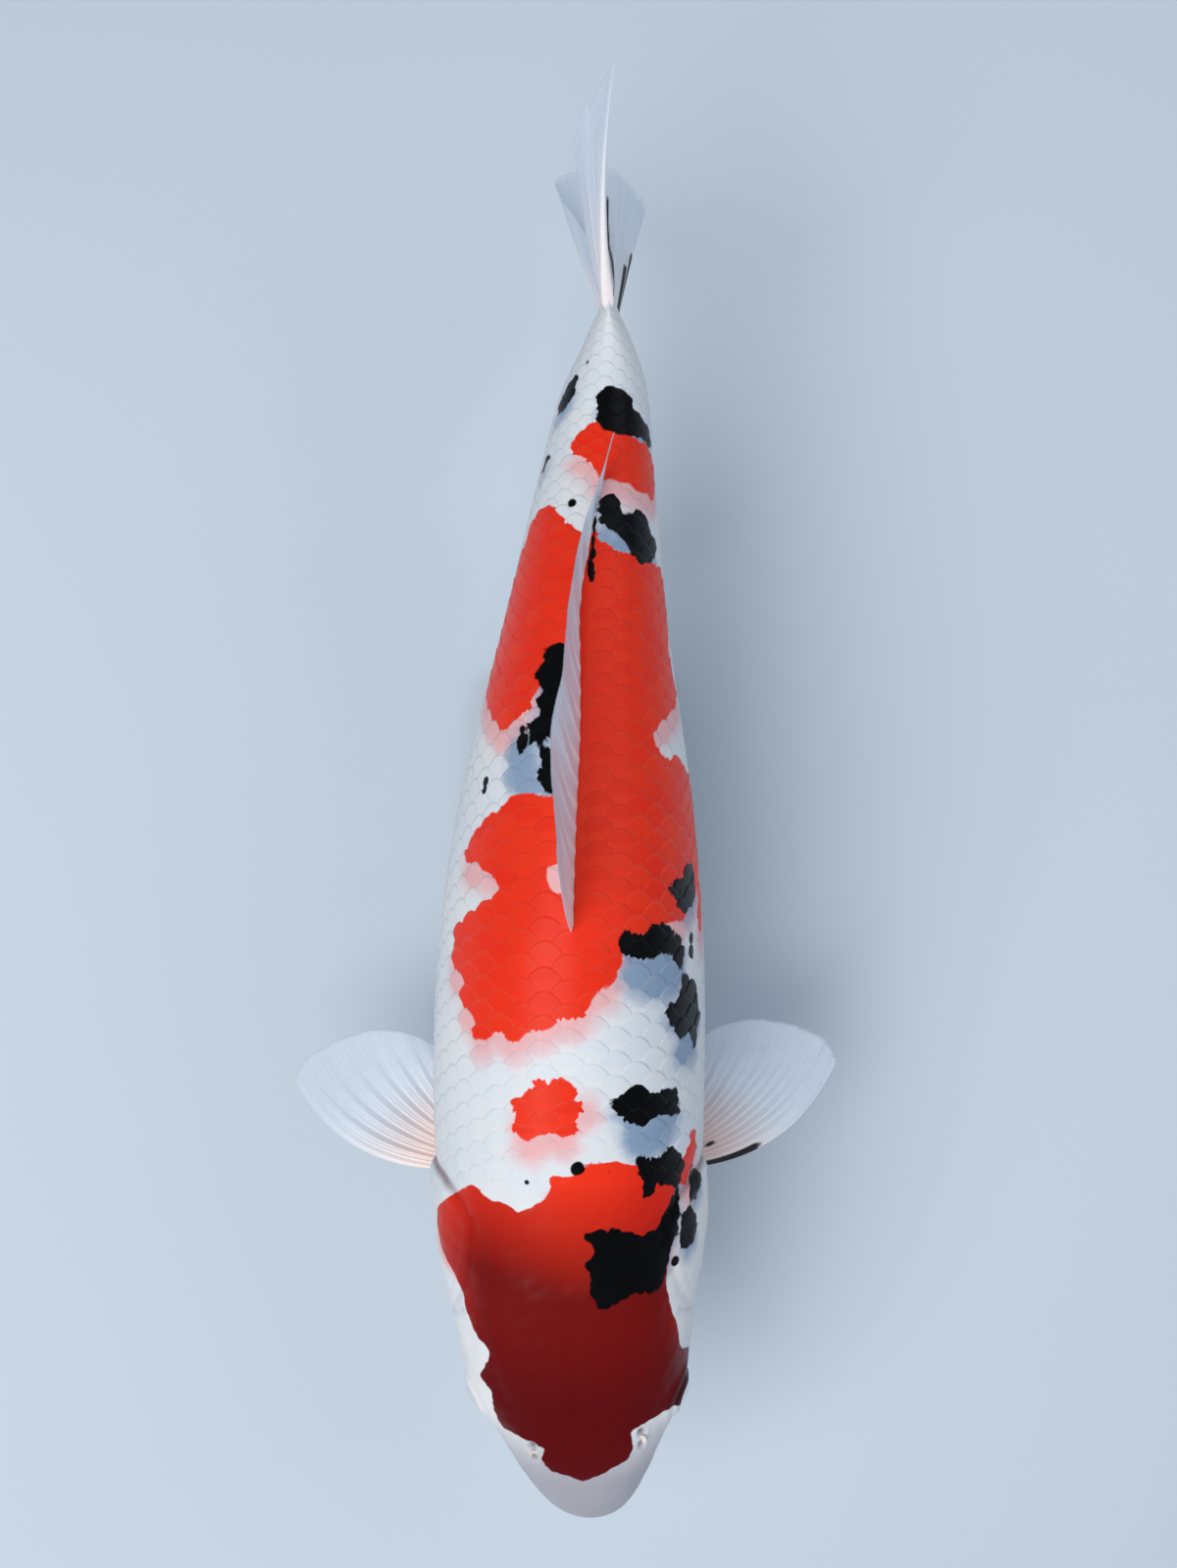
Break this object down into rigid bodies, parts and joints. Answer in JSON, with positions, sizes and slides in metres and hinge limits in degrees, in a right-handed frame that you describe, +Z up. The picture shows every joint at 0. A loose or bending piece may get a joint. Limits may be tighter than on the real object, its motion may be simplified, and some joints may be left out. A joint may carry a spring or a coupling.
{
  "type": "koi carp on a display stand",
  "caption": "Life-size still model of a koi carp, white with red and black patches, swimming with spread fins and held over a flat base by rods.",
  "frame": {"origin": "centre of the flat underside of the stand's base", "axes": "+Z up; +Y towards the tail, so the fish faces -Y; +X towards the fish's left side"},
  "size_m": [0.2424, 0.5802, 0.253],
  "materials": {
    "skin": "wet fish skin, white with orange-red and black patches, under a clear slime coat",
    "fin": "thin ribbed fin web, pale and part see-through",
    "eye": "wet clear eye with a pale gold ring and a black pupil",
    "base": "dark oiled walnut with eased edges",
    "rod": "satin steel rod"
  },
  "bodies": {
    "root": {"head": "skin", "jaw": "skin", "gill_cover_left": "skin", "gill_cover_right": "skin", "trunk_front": "skin", "trunk_rear": "skin", "tail_stem": "skin", "eye_left": "eye", "eye_right": "eye", "barbel_corner_left": "skin", "barbel_corner_right": "skin", "barbel_lip_left": "skin", "barbel_lip_right": "skin", "dorsal_fin": "fin", "tail_fin_upper": "fin", "tail_fin_lower": "fin", "anal_fin": "fin", "pectoral_fin_left": "fin", "pectoral_fin_right": "fin", "pelvic_fin_left": "fin", "pelvic_fin_right": "fin", "stand_base": "base", "stand_rod_front": "rod", "stand_rod_rear": "rod"}
  },
  "joints": []
}
